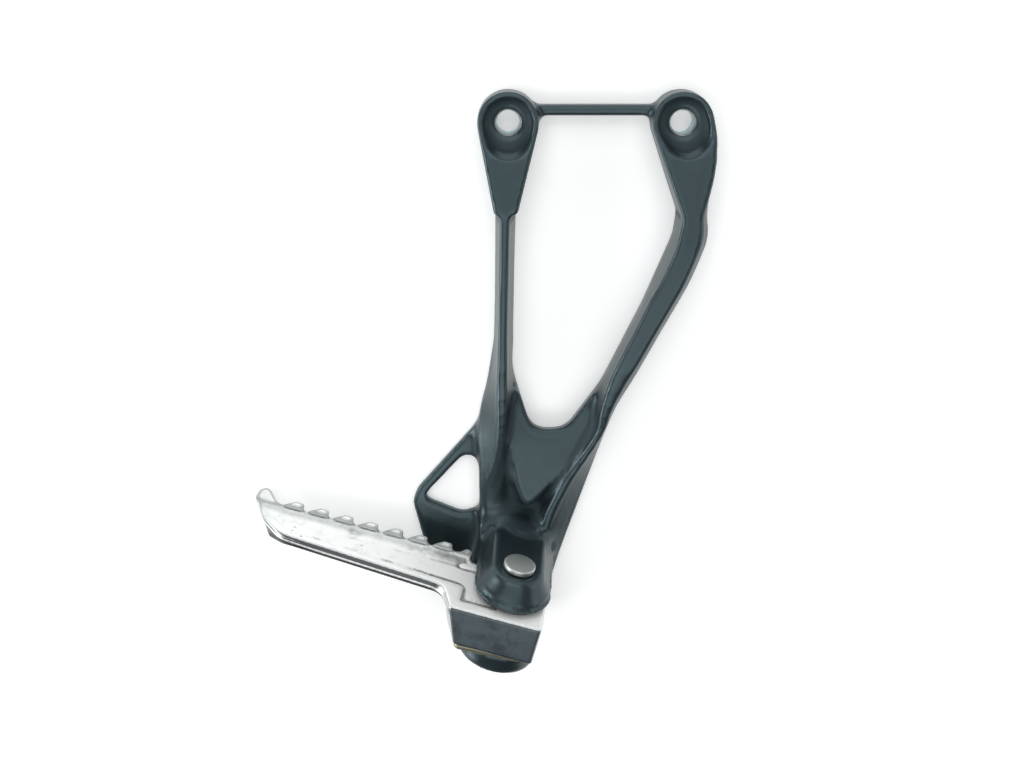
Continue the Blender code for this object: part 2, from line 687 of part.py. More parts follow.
def peg_end(inset=0.0):
    """Corners of the peg's outer end, from the blade's edge round to the tread."""
    return [
        (PEG_LENGTH - 13.5 * MM - inset, blade_edge(PEG_LENGTH - 13.5 * MM) - inset, 10 * MM),
        (PEG_LENGTH - 5.4 * MM - inset, TREAD_V + 8.6 * MM - inset / 2, 18 * MM),
        (PEG_LENGTH - 1.2 * MM - inset, TREAD_V + 0.6 * MM, 0),
    ]


def peg_blade(inset, corner_u):
    """The outline of the thin blade under the tread, or of its face inside the rim."""
    root_u = corner_u - inset
    return rounded([
        (4 * MM, TREAD_V + 6.6 * MM, 0),
        (4 * MM, ROOT_FACE - 1.8 * MM - inset, 0),
        (ROOT_SIDE_TOP + 0.3 * MM - inset, ROOT_FACE - 1.8 * MM - inset, 0),
        (root_u, blade_edge(root_u) - inset, 7 * MM - 1.8 * inset),
        *peg_end(inset)[:2],
        (PEG_LENGTH - 4.4 * MM - inset, TREAD_V + 6.6 * MM, 0),
    ])


def drafted_blade():
    """The blade, whose edge stands out furthest along the line where the mould was split."""
    rings = []
    for n, inset in ((-BLADE_T, BLADE_DRAFT), (-BLADE_T / 2, 0), (0, BLADE_DRAFT)):
        outline = peg_blade(inset, ROOT_SIDE_TOP + ROOT_SIDE_SPREAD + 0.3 * MM)
        rings.append([(p.x, p.y, ROOT_TOP + n) for p in outline])
    return loft("blade", rings)


def peg_tread():
    """The tread, its near flare and the far side that sweeps back to the blade."""
    section = [
        (TREAD_V, -TREAD_FAR),
        (TREAD_V, TREAD_NEAR),
        (TREAD_V + 0.9 * MM, TREAD_NEAR),
        (TREAD_V + 2.4 * MM, ROOT_TOP + 0.4 * TREAD_FLARE),
        (TREAD_V + 4.5 * MM, ROOT_TOP - 0.1 * MM),
        (TREAD_V + 7.2 * MM, ROOT_TOP - RIM_STEP - 0.05 * MM),
        (TREAD_V + 12 * MM, ROOT_TOP - BLADE_T + 0.2 * MM),
        (TREAD_V + 8 * MM, ROOT_TOP - BLADE_T - 2 * MM),
        (TREAD_V + TREAD_T, -TREAD_FAR + 1.5 * MM),
        (TREAD_V + TREAD_T - 1.2 * MM, -TREAD_FAR),
    ]
    return along_peg(section, INNER_LIP_U + 0.3 * MM, PEG_LENGTH - 0.6 * MM)


def peg_tip():
    """The hook that closes the tread at its outer end."""
    top = TREAD_V - TIP_RISE
    outline = rounded([
        (PEG_LENGTH - 12.8 * MM, TREAD_V + TOOTH_DEPTH, 0),
        (PEG_LENGTH - 12.8 * MM, TREAD_V - 0.1 * MM, 0),
        (PEG_LENGTH - 9.4 * MM, TREAD_V - 0.9 * MM, 5 * MM),
        (PEG_LENGTH - 4.9 * MM, top + 1.4 * MM, 1.2 * MM),
        (PEG_LENGTH - 2.5 * MM, top, 1.3 * MM),
        (PEG_LENGTH - 0.4 * MM, top + 2.4 * MM, 2 * MM),
        (PEG_LENGTH, TREAD_V - 2 * MM, 4 * MM),
        (PEG_LENGTH - 1.5 * MM, TREAD_V + TOOTH_DEPTH, 0),
    ])
    return prism("tip", outline, -TREAD_FAR + 0.2 * MM, TREAD_NEAR - 0.1 * MM)


def beyond_end():
    """What lies beyond the peg's outer end, leaning in over the peg towards its far side."""
    outline = rounded([
        (PEG_LENGTH + 20 * MM, 20 * MM, 0),
        (PEG_LENGTH - 30 * MM, 20 * MM, 0),
        (PEG_LENGTH - 30 * MM, blade_edge(PEG_LENGTH - 30 * MM), 0),
        *peg_end(0.4 * MM),
        (PEG_LENGTH, TREAD_V - 2 * MM, 4 * MM),
        (PEG_LENGTH - 0.3 * MM, TREAD_V - TIP_RISE - 2 * MM, 0),
        (PEG_LENGTH + 20 * MM, TREAD_V - TIP_RISE - 2 * MM, 0),
    ])
    lean = Matrix(((1, 0, END_LEAN, -END_LEAN * ROOT_TOP), (0, 1, 0, 0), (0, 0, 1, 0), (0, 0, 0, 1)))
    return moved(prism("beyond_end", outline, -40 * MM, 40 * MM), lean)


def tip_far_corner():
    """The slanted cut that draws the tip in on its far side."""
    near = ROOT_TOP - BLADE_T
    slope = TIP_SETBACK / (near + TREAD_FAR)
    outline = [
        (PEG_LENGTH + 2 * MM, near + 2 * MM / slope),
        (PEG_LENGTH - TIP_SETBACK - 4 * MM * slope, -TREAD_FAR - 4 * MM),
        (PEG_LENGTH + 30 * MM, -TREAD_FAR - 4 * MM),
    ]
    lay = Matrix(((1, 0, 0, 0), (0, 0, -1, 0), (0, 1, 0, 0), (0, 0, 0, 1)))
    return moved(prism("tip_corner", outline, -40 * MM, 60 * MM), lay)


def peg_inner_lip():
    """The raised lip that closes the tread at its inner end."""
    outline = rounded([
        (INNER_LIP_U + 0.2 * MM, TREAD_V + TOOTH_DEPTH, 0),
        (INNER_LIP_U, TREAD_V - 1.6 * MM, MM),
        (INNER_LIP_U + 2.6 * MM, TREAD_V - INNER_LIP_RISE, 1.3 * MM),
        (INNER_LIP_U + 5.0 * MM, TREAD_V - 0.6 * MM, 2 * MM),
        (INNER_LIP_U + 6.8 * MM, TREAD_V + 0.1 * MM, 0),
        (INNER_LIP_U + 6.0 * MM, TREAD_V + TOOTH_DEPTH, 0),
    ])
    return prism("inner_lip", outline, -TREAD_FAR + 0.3 * MM, TREAD_NEAR + 0.2 * MM)


def peg_tooth(u):
    """One saw tooth across the tread: steep towards the root, gentle towards the tip."""
    outline = rounded([
        (u, TREAD_V + TOOTH_DEPTH, 0),
        (u + 0.4 * MM, TREAD_V - 0.94 * TOOTH_RISE, 0.6 * MM),
        (u + 0.55 * TOOTH_LENGTH, TREAD_V - 1.04 * TOOTH_RISE, 0.8 * MM),
        (u + TOOTH_LENGTH, TREAD_V - 0.1 * TOOTH_RISE, 0.3 * MM),
        (u + TOOTH_LENGTH, TREAD_V + TOOTH_DEPTH, 0),
    ])
    return prism("tooth", outline, -TREAD_FAR + TOOTH_PROUD, TREAD_NEAR + TOOTH_PROUD)


def ball_place(turn):
    """Where the detent ball sits about the pin, with the peg turned from its folded place."""
    angle = BALL_ANGLE + turn
    return BALL_RADIUS_ON_PEG * math.cos(angle), BALL_RADIUS_ON_PEG * math.sin(angle)


def make_peg(carrier, material):
    """The cast peg: hinge root, blade, and a tread with teeth between two raised ends."""
    peg = joined(
        peg_root(),
        drafted_blade(),
        peg_tread(),
        peg_tip(),
        peg_inner_lip(),
    )
    for i in range(TOOTH_COUNT):
        combine(peg, peg_tooth(TOOTH_FIRST_U + i * TOOTH_PITCH), "UNION")
    combine(peg, beyond_end(), "DIFFERENCE")
    combine(peg, tip_far_corner(), "DIFFERENCE")
    outline = peg_blade(RIM_WIDTH, ROOT_SIDE_TOP + 0.6 * MM)
    face = prism("face", outline, ROOT_TOP - RIM_STEP, ROOT_TOP + 0.1 * MM)
    combine(peg, face, "DIFFERENCE")
    combine(peg, cylinder("pin_bore", PIN_BORE_R, -2 * ROOT_TOP, 2 * ROOT_TOP), "DIFFERENCE")
    x, y = ball_place(0)
    ball_bore = cylinder("ball_bore", BALL_D / 2 + BALL_BORE_CLEAR, -2 * ROOT_TOP,
                         ROOT_BOTTOM + BALL_BORE_DEPTH, x, y, 32)
    combine(peg, ball_bore, "DIFFERENCE")
    return finish(peg, "peg", material, carrier)


def make_pin(carrier, material):
    """The headed clevis pin, with a groove for its clip."""
    r, head_r = PIN_D / 2, PIN_HEAD_D / 2
    groove_r = r - CLIP_GROOVE_DEPTH
    seat = UPPER_EAR_TOP + GAP
    top = seat + PIN_HEAD_H
    pin = turned("pin", [
        (0, top), (head_r - 0.5 * MM, top), (head_r, top - 0.5 * MM), (head_r, seat), (r, seat),
        (r, CLIP_TOP + 0.2 * MM), (groove_r, CLIP_TOP + 0.2 * MM),
        (groove_r, CLIP_TOP - CLIP_T - 0.2 * MM), (r, CLIP_TOP - CLIP_T - 0.2 * MM),
        (r, PIN_END + PIN_CHAMFER), (r - PIN_CHAMFER, PIN_END), (0, PIN_END),
    ])
    return finish(pin, "pivot_pin", material, carrier)


def make_washer(name, carrier, material, diameter, low, thickness):
    """A flat washer that fits the pin."""
    outer, inner = diameter / 2, PIN_BORE_R
    high = low + thickness
    washer = turned(name, [(outer, high), (outer, low), (inner, low), (inner, high)])
    return finish(washer, name, material, carrier)


def make_clip(carrier, material):
    """The open ring clip in the pin's groove."""
    outer = CLIP_D / 2
    inner = PIN_D / 2 - CLIP_GROOVE_DEPTH + GAP
    outline = []
    for radius, order in ((outer, 1), (inner, -1)):
        half = math.asin(CLIP_MOUTH / 2 / radius)
        angles = np.linspace(half, 2 * math.pi - half, 33)[::order]
        outline += [(radius * math.cos(a), radius * math.sin(a)) for a in angles]
    clip = prism("clip", outline, CLIP_TOP - CLIP_T, CLIP_TOP)
    return finish(clip, "pin_clip", material, carrier)


def make_detent_plate(carrier, material):
    """The steel plate on the lower ear, with a hole for each end of the fold and a tab beside the ear."""
    outline = rounded([
        (-PLATE_RIGHT, -PLATE_BACK, 3 * MM),
        (PLATE_LEFT, -PLATE_BACK, 0.5 * MM),
        (PLATE_LEFT, PLATE_FRONT, 2.5 * MM),
        (-PLATE_RIGHT, PLATE_FRONT, 4 * MM),
    ])
    plate = prism("plate", outline, PLATE_TOP - PLATE_T, PLATE_TOP)
    tab_low = (EAR_R + GAP, -PLATE_BACK + MM, LOWER_EAR_Z - PLATE_TAB_LENGTH)
    tab_high = (PLATE_LEFT - 0.05 * MM, -PLATE_BACK + MM + PLATE_TAB_WIDTH, PLATE_TOP - PLATE_T / 2)
    combine(plate, box("tab", tab_low, tab_high), "UNION")
    low, high = PLATE_TOP - 2 * PLATE_T, PLATE_TOP + PLATE_T
    combine(plate, cylinder("pin_hole", PIN_BORE_R, low, high), "DIFFERENCE")
    for turn in (-FOLD_PAST_FLAT, FOLD_TRAVEL - FOLD_PAST_FLAT):
        x, y = ball_place(turn)
        combine(plate, cylinder("detent", PLATE_HOLE_D / 2, low, high, x, y, 32), "DIFFERENCE")
    return finish(plate, "detent_plate", material, carrier)


def make_ball(carrier, material):
    """The detent ball, about its own centre."""
    bm = bmesh.new()
    bmesh.ops.create_uvsphere(bm, u_segments=24, v_segments=16, radius=BALL_D / 2)
    return finish(mesh_object("ball", bm), "detent_ball", material, carrier)


def make_spring(carrier, material):
    """The coil spring above the ball, in the blind bore of the root."""
    radius = (SPRING_D - SPRING_WIRE) / 2
    reach = BALL_D / 2 + GAP + SPRING_WIRE / 2
    low = math.sqrt(reach ** 2 - radius ** 2)
    high = ROOT_BOTTOM + BALL_BORE_DEPTH - GAP - SPRING_WIRE / 2 - BALL_Z
    turns = np.linspace(0, SPRING_TURNS, SPRING_TURNS * 10 + 1)
    angle = 2 * math.pi * turns
    height = low + (high - low) * turns / SPRING_TURNS
    points = np.stack([radius * np.cos(angle), radius * np.sin(angle), height], 1)
    apart = np.linalg.norm(points[:, None] - points[None], axis=2)
    far = np.abs(np.subtract.outer(turns, turns)) > 0.5
    print(f"least gap of the spring to itself: {(apart[far].min() - SPRING_WIRE) * 1000:.2f} mm")
    curve = bpy.data.curves.new("spring", "CURVE")
    curve.dimensions = "3D"
    curve.bevel_depth = SPRING_WIRE / 2
    curve.bevel_resolution = 2
    curve.use_fill_caps = True
    spline = curve.splines.new("POLY")
    spline.points.add(len(points) - 1)
    for point, place in zip(spline.points, points):
        point.co = (*place, 1)
    spring = curve_to_mesh("spring", curve, Matrix())
    return finish(spring, "detent_spring", material, carrier)


def stand_on_floor(root):
    """Moves everything so that the middle of the bottom of its box is the origin."""
    bpy.context.view_layer.update()
    corners = []
    for item in COLLECTION.objects:
        if item.type == "MESH":
            corners += [item.matrix_world @ vert.co for vert in item.data.vertices]
    low, high = np.min(corners, axis=0), np.max(corners, axis=0)
    root.location = (-(low[0] + high[0]) / 2, -(low[1] + high[1]) / 2, -low[2])
    bpy.context.view_layer.update()


def main():
    clear_scene()
    black = paint("satin_black_paint", (0.022, 0.025, 0.028), 0.45, 0.0)
    aluminium = paint("cast_aluminium", (0.80, 0.80, 0.79), 0.35, 1.0)
    steel = paint("pin_steel", (0.50, 0.49, 0.47), 0.4, 1.0)
    zinc = paint("yellow_zinc", (0.72, 0.58, 0.30), 0.4, 1.0)
    spring_steel = paint("spring_steel", (0.42, 0.42, 0.43), 0.35, 1.0)

    root = empty_at("foot_peg_root", Matrix())
    make_bracket(root, black)
    pivot = empty_at("pivot", clevis_frame(), root)
    make_pin(pivot, steel)
    make_washer("thrust_washer", pivot, steel, THRUST_WASHER_D, THRUST_WASHER_Z, THRUST_WASHER_T)
    make_washer("pin_washer", pivot, steel, PIN_WASHER_D, PIN_WASHER_Z, PIN_WASHER_T)
    make_clip(pivot, spring_steel)
    make_detent_plate(pivot, zinc)

    fold = empty_at("peg_fold", Matrix.Rotation(-FOLD_PAST_FLAT, 4, "Z"), pivot)
    make_peg(fold, aluminium)
    detent = empty_at("detent", Matrix.Translation((*ball_place(0), BALL_Z)), fold)
    make_ball(detent, spring_steel)
    make_spring(detent, spring_steel)
    bpy.data.collections.remove(CUTTERS)
    stand_on_floor(root)
    print("pivot frame", [[round(c, 6) for c in row] for row in pivot.matrix_world])
    print("ball centre", [round(c, 6) for c in detent.matrix_world.translation])


main()
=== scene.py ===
# %% [markdown]
# # A folding foot peg on its hanger
#
# The real object is two castings on one pin: a satin black hanger that bolts to a frame through two eyes, and a bare
# aluminium peg that folds against it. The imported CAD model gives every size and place. This notebook loads it as a
# fixed frame and then gives each piece the shape and the finish that a casting, a turned pin or a bent wire has.

# %% Load the frame
import json
import math
import bmesh
import bpy
import numpy as np
import openvdb
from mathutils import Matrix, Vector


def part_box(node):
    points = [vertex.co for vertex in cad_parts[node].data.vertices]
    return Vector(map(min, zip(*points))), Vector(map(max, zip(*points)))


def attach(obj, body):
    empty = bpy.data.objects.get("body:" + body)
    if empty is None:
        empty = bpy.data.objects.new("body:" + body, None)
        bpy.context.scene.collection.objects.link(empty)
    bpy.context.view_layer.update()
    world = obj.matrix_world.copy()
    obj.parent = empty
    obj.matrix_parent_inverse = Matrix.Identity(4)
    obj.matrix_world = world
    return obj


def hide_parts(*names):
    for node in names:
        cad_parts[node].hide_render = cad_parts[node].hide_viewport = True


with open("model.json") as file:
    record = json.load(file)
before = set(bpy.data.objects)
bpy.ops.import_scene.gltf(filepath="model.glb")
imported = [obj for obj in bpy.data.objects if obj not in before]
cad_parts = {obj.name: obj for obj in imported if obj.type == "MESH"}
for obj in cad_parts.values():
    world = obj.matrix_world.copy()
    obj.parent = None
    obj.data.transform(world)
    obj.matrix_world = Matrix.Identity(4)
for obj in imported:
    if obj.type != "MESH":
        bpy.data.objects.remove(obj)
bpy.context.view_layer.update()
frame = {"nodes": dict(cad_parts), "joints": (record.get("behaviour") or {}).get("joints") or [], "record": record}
MM = 0.001
print("nodes:", sorted(frame["nodes"]))

# %% [markdown]
# ## Landmarks
#
# Most pieces sit on the fold axis, and the finishes need to know where the bolt holes are. These places could be typed
# in again, but the record already holds them: the hinge joint has its point and axis, and the bolt seats are mounts.
# Three directions follow from the axis: along the folded peg, outwards from it, and along the pin.

# %% Places and directions from the record
fold = next(joint for joint in frame["joints"] if joint["name"] == "peg_fold")
PIVOT = np.array(fold["pos_m"])
PIN_AXIS = np.array(fold["axis"]) / np.linalg.norm(fold["axis"])
PEG_DROOP = math.radians(-4.0)

level = np.cross([0.0, 0.0, 1.0], PIN_AXIS)
level /= np.linalg.norm(level)
upright = np.cross(PIN_AXIS, level)
PEG_ALONG = math.cos(PEG_DROOP) * level + math.sin(PEG_DROOP) * upright
PEG_OUT = np.cross(PIN_AXIS, PEG_ALONG)

mount = {m["name"]: np.array(m["pos_m"]) for m in frame["record"]["mounts"]}
BOLT_MIDDLE = mount["bolt_holes"]
HALF_PITCH = (mount["right_bolt_seat"][0] - mount["left_bolt_seat"][0]) / 2
BOLT_AXES = [BOLT_MIDDLE + [side * HALF_PITCH, 0, 0] for side in (-1, 1)]
print("pivot", np.round(PIVOT * 1000, 1), "bolts", np.round(np.array(BOLT_AXES) * 1000, 1))

# %% [markdown]
# ## From arrays to a piece
#
# Every shape below ends as an array of points and an array of four-cornered faces. Blender could take them one by one,
# which is slow, so foreach_set hands over whole arrays at once. Poles come out as faces with two equal corners, and
# merging doubles turns those into triangles and closes the seam.

# %% Put arrays into a mesh
def make_piece(name, points, faces, body, slot, *nodes):
    """A smooth mesh piece at the origin that rides on a body and stands for the named CAD nodes."""
    mesh = bpy.data.meshes.new(name)
    mesh.vertices.add(len(points))
    mesh.vertices.foreach_set("co", np.asarray(points, np.float32).ravel())
    mesh.loops.add(faces.size)
    mesh.loops.foreach_set("vertex_index", faces.astype(np.int32).ravel())
    mesh.polygons.add(len(faces))
    mesh.polygons.foreach_set("loop_start", np.arange(0, faces.size, faces.shape[1], dtype=np.int32))
    mesh.update(calc_edges=True)
    merged = bmesh.new()
    merged.from_mesh(mesh)
    bmesh.ops.remove_doubles(merged, verts=merged.verts, dist=1e-7)
    bmesh.ops.recalc_face_normals(merged, faces=merged.faces)
    open_edges = sum(not edge.is_manifold for edge in merged.edges)
    merged.to_mesh(mesh)
    merged.free()
    mesh.shade_smooth()
    piece = bpy.data.objects.new(name, mesh)
    bpy.context.scene.collection.objects.link(piece)
    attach(piece, body)
    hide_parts(*nodes)
    print(f"{name}: {len(mesh.polygons)} faces, {open_edges} open edges")
    return piece


def wrapped_faces(rows, columns):
    """Faces of a grid whose columns close into a loop: each joins a point to its right and upper neighbours."""
    row, column = np.meshgrid(np.arange(rows - 1), np.arange(columns), indexing="ij")
    right = (column + 1) % columns
    corners = [row * columns + column, row * columns + right]
    corners += [(row + 1) * columns + right, (row + 1) * columns + column]
    return np.stack(corners, -1).reshape(-1, 4)

# %% [markdown]
# ## Skins for the castings
#
# The CAD castings are exact but sharp: their ribs, pads and walls meet in knife edges, and a real casting has a fillet
# in each hollow and a rounded corner on each edge. A Bevel modifier fails on such cut meshes, and no single formula
# over two parameters gives a forked bracket with holes. So the casting is turned into a grid of distances to its
# surface. Growing that surface by a radius and shrinking it again leaves fillets in the hollows, and shrinking then
# growing rounds the outer edges, as a pattern maker's wax and sandpaper do. The flats stay where the CAD has them.

# %% Distance grids
def node_surface(node):
    """Points and triangles of a CAD node, with the doubles of its loose triangles merged."""
    copy = bmesh.new()
    copy.from_mesh(frame["nodes"][node].data)
    bmesh.ops.remove_doubles(copy, verts=copy.verts, dist=1e-6)
    bmesh.ops.triangulate(copy, faces=copy.faces)
    mesh = bpy.data.meshes.new("copy")
    copy.to_mesh(mesh)
    copy.free()
    points = np.empty(3 * len(mesh.vertices), np.float32)
    mesh.vertices.foreach_get("co", points)
    corners = np.empty(len(mesh.loops), np.int32)
    mesh.loops.foreach_get("vertex_index", corners)
    bpy.data.meshes.remove(mesh)
    return points.reshape(-1, 3), corners.reshape(-1, 3).astype(np.uint32)


def distance_grid(points, faces, cell, reach):
    """The signed distance to a closed surface, kept in a band on both sides of it."""
    scale = openvdb.createLinearTransform(voxelSize=cell)
    band = math.ceil(reach / cell) + 3
    kind = "triangles" if faces.shape[1] == 3 else "quads"
    return openvdb.FloatGrid.createLevelSetFromPolygons(points, transform=scale, halfWidth=band, **{kind: faces})


def grid_surface(grid, offset):
    """The surface at a distance outside the grid's own, as points and faces that point outwards."""
    points, _, faces = grid.convertToPolygons(offset, 0.0)
    return points, faces[:, ::-1]


def softened(points, faces, cell, hollow, edge):
    """Out and in by the hollow radius fills the hollows, then in and out by the edge radius rounds the edges."""
    for step in (hollow, -hollow, -edge, edge):
        grid = distance_grid(points, faces, cell, max(hollow, edge))
        points, faces = grid_surface(grid, step)
    return points, faces


def reshaped(points, faces, cell, ways, change):
    """The surface after its distances were changed, told how far from the pivot each cell lies along three ways."""
    grid = distance_grid(points, faces, cell, 1.5 * MM)
    low, high = (np.array(corner) for corner in grid.evalActiveVoxelBoundingBox())
    start = tuple(int(i) for i in low)
    distance = np.empty(high - low + 1, np.float32)
    grid.copyToArray(distance, ijk=start)
    axes = [(start[i] + np.arange(distance.shape[i])) * cell - PIVOT[i] for i in range(3)]
    x, y, z = np.meshgrid(*axes, indexing="ij", sparse=True)
    spots = [x * way[0] + y * way[1] + z * way[2] for way in ways]
    grid.copyFromArray(change(distance, *spots).astype(np.float32), ijk=start)
    return grid_surface(grid, 0.0)

# %% [markdown]
# A casting's paint wears on its edges and dirt stays in its hollows. A shader can't see how a surface curves in a way
# that survives an export, so that is measured here: every point is moved to the mean of its neighbours some dozens of
# times, and how far it sinks or rises tells an edge from a hollow. The result is kept on the mesh as two attributes.
# Which way each point faces is kept in the same manner; the peg's finish and the light and shade painted on it go by
# that.

# %% Measure edges and hollows
def mark_edges(piece, rounds, depth):
    """Attributes worn and sunk: how far a point stands proud of, or under, its smoothed neighbourhood."""
    mesh = piece.data
    count = len(mesh.vertices)
    points = np.empty(3 * count, np.float32)
    mesh.vertices.foreach_get("co", points)
    points = points.reshape(-1, 3)
    normals = np.empty(3 * count, np.float32)
    mesh.vertices.foreach_get("normal", normals)
    ends = np.empty(2 * len(mesh.edges), np.int32)
    mesh.edges.foreach_get("vertices", ends)
    near, far = ends.reshape(-1, 2).T
    here, there = np.concatenate([near, far]), np.concatenate([far, near])
    share = 1.0 / np.bincount(here, minlength=count)
    smooth = points.astype(float)
    for _ in range(rounds):
        smooth = np.stack([np.bincount(here, smooth[there, axis], count) * share for axis in range(3)], 1)
    rise = np.sum((points - smooth) * normals.reshape(-1, 3), 1) / depth
    for name, values in (("worn", rise), ("sunk", -rise)):
        attribute = mesh.attributes.new(name, "FLOAT", "POINT")
        attribute.data.foreach_set("value", np.clip(values, 0, 1).astype(np.float32))
    print(f"{piece.name}: proud by up to {rise.max() * depth / MM:.2f} mm, sunk by {-rise.min() * depth / MM:.2f} mm")


def mark_facing(piece, **ways):
    """An attribute for each named direction: 1 where a point faces along it, -1 where it faces away."""
    mesh = piece.data
    normals = np.empty(3 * len(mesh.vertices), np.float32)
    mesh.vertices.foreach_get("normal", normals)
    for name, way in ways.items():
        attribute = mesh.attributes.new(name, "FLOAT", "POINT")
        attribute.data.foreach_set("value", (normals.reshape(-1, 3) @ way).astype(np.float32))

# %% [markdown]
# ## The hanger
#
# One aluminium casting, painted satin black. Its hollows have generous fillets, and its edges are rounded just enough
# to hold paint. A groove runs round the upper ear, between its cone and the rim. Cutting it is simple on a distance
# grid: the groove is a bent tube, and the hanger keeps the greater of its own distance and the tube's with its sign
# turned. The CAD's curved flanks are made of narrow flat strips, which would show as bands in the gloss. Each distance
# is therefore replaced by its mean over a few cells where the two are nearly equal, which fairs the flanks and leaves
# the edges alone. Where the web runs out into the shoulder the casting flows more softly, so there the mean is always
# taken.

# %% Hanger skin
BRACKET_CELL = 0.67 * MM
GROOVE_R, GROOVE_UP, GROOVE_DEPTH = 14.5 * MM, 11.3 * MM, 0.7 * MM
FOOT_MIDDLE, FOOT_HALF = np.array([-4, 32, -25]) * MM, np.array([14, 9, 14]) * MM
FAIR_ROUNDS, FAIR_LIMIT = 3, 0.1 * MM


def with_ear_groove(distance, along, out, up):
    """Distance from a tube round the ear's front half, and straight back along both of its sides."""
    around = np.where(out > 0, np.hypot(along, out), np.abs(along))
    tube = np.hypot(around - GROOVE_R, up - GROOVE_UP) - GROOVE_DEPTH
    return np.where(out > -9 * MM, np.maximum(distance, -tube), distance)


def with_fair_flanks(distance, right, ahead, up):
    """The distance, blended with its mean over five cells each way: by how close they are, and round a foot point."""
    mean = distance
    for axis in (0, 1, 2) * FAIR_ROUNDS:
        mean = sum(np.roll(mean, shift, axis) for shift in range(-2, 3)) / 5
    off = [(spot - middle) / half for spot, middle, half in zip((right, ahead, up), FOOT_MIDDLE, FOOT_HALF)]
    foot = np.clip(2 - 2 * np.sqrt(off[0] ** 2 + off[1] ** 2 + off[2] ** 2), 0, 1)
    flank = np.clip(2 - np.abs(mean - distance) / FAIR_LIMIT, 0, 1)
    return distance + np.maximum(foot, flank) * (mean - distance)


points, faces = softened(*node_surface("bracket"), BRACKET_CELL, hollow=1.3 * MM, edge=0.45 * MM)
points, faces = reshaped(points, faces, BRACKET_CELL, (level, upright, PIN_AXIS), with_ear_groove)
points, faces = reshaped(points, faces, BRACKET_CELL, np.eye(3), with_fair_flanks)
bracket = make_piece("hanger", points, faces, "bracket", "bracket_paint", "bracket")
mark_edges(bracket, 24, 0.5 * MM)

# %% [markdown]
# ## The peg
#
# The peg is a smaller, sharper casting that was never painted. The same skin is made with a finer grid. The outer edge
# of the blade carries the low ridge where the two halves of the mould met. On a distance grid such a ridge is easy: the
# distances in a thin slab are made a little smaller, which lets the surface swell there.

# %% Peg skin
PEG_CELL = 0.4 * MM
RIDGE_HEIGHT, RIDGE_HALF, RIDGE_UP = 0.35 * MM, 0.6 * MM, 5.0 * MM


def with_parting_ridge(distance, along, out, up):
    """The distance, less a bump across the mould's split: one minus the square of the way from its middle, squared."""
    across = np.clip(np.abs(up - RIDGE_UP) / RIDGE_HALF, 0, 1)
    fade = np.clip((along - 24 * MM) / (3 * MM), 0, 1) * np.clip((out + 9 * MM) / (3 * MM), 0, 1)
    return distance - RIDGE_HEIGHT * fade * (1 - across ** 2) ** 2


points, faces = softened(*node_surface("peg"), PEG_CELL, hollow=0.5 * MM, edge=0.25 * MM)
points, faces = reshaped(points, faces, PEG_CELL, (PEG_ALONG, PEG_OUT, PIN_AXIS), with_parting_ridge)
peg = make_piece("peg_casting", points, faces, "peg", "peg_metal", "peg")
mark_edges(peg, 20, 0.16 * MM)
mark_facing(peg, near=PIN_AXIS, outer=PEG_OUT)

# %% [markdown]
# ## The detent plate
#
# A stamped plate under the hinge, with one tab bent down. Stamping rounds its edges on one side. It is small, so the
# same skin is made with a very fine grid.

# %% Plate skin
points, faces = softened(*node_surface("detent_plate"), 0.2 * MM, hollow=0.5 * MM, edge=0.3 * MM)
plate = make_piece("click_plate", points, faces, "bracket", "plate_zinc", "detent_plate")
mark_edges(plate, 16, 0.15 * MM)

# %% [markdown]
# ## Turned pieces
#
# The pin and its washers were turned on a lathe. A cylinder primitive would have knife edges, and a lathe leaves a
# small radius on each. So a profile of radius against height along the pin gets an arc in each corner, and is carried
# round the pin's axis.

# %% Turned pieces
def arc_corners(corners, radius, steps=6):
    """A line whose inner corners are replaced by arcs: points of a parabola between two points a radius away."""
    corners = np.asarray(corners, float)
    before, here, after = corners[:-2], corners[1:-1], corners[2:]
    back, ahead = before - here, after - here
    back_length = np.linalg.norm(back, axis=1, keepdims=True)
    ahead_length = np.linalg.norm(ahead, axis=1, keepdims=True)
    start = here + back / back_length * np.minimum(radius, back_length / 2)
    stop = here + ahead / ahead_length * np.minimum(radius, ahead_length / 2)
    t = np.linspace(0, 1, steps)[None, :, None]
    arcs = (1 - t) ** 2 * start[:, None] + 2 * t * (1 - t) * here[:, None] + t ** 2 * stop[:, None]
    return np.concatenate([corners[:1], arcs.reshape(-1, 2), corners[-1:]])


def turned_piece(name, profile, radius, slot, node, segments=96):
    """Radius times cosine and sine of an angle in the plane across the pin, plus height along the pin."""
    line = arc_corners(profile, radius) * MM
    angle = np.linspace(0, 2 * math.pi, segments, endpoint=False)
    across = np.cos(angle)[:, None] * PEG_ALONG + np.sin(angle)[:, None] * PEG_OUT
    points = PIVOT + line[:, None, :1] * across + line[:, None, 1:] * PIN_AXIS
    return make_piece(name, points.reshape(-1, 3), wrapped_faces(len(line), segments), "bracket", slot, node)


PIN_PROFILE = [(0, 21.9), (6.1, 21.9), (6.1, 19.7), (4, 19.7), (4, -22.0), (3, -22.0), (3, -23.4), (4, -23.4),
               (4, -24.7), (3.3, -25.4), (0, -25.4)]
pin = turned_piece("pivot_pin_turned", PIN_PROFILE, 0.6, "pin_steel", "pivot_pin")


def washer_profile(inner, outer, low, high):
    """The closed outline of a washer's section, begun in the middle of its upper side."""
    middle = (inner + outer) / 2
    return [(middle, high), (outer, high), (outer, low), (inner, low), (inner, high), (middle, high)]


ring = turned_piece("thrust_ring", washer_profile(4.3, 13.5, 7.8, 8.6), 0.3, "pin_steel", "thrust_washer")
washer = turned_piece("tail_washer", washer_profile(4.3, 8.0, -21.9, -20.5), 0.4, "pin_steel", "pin_washer")

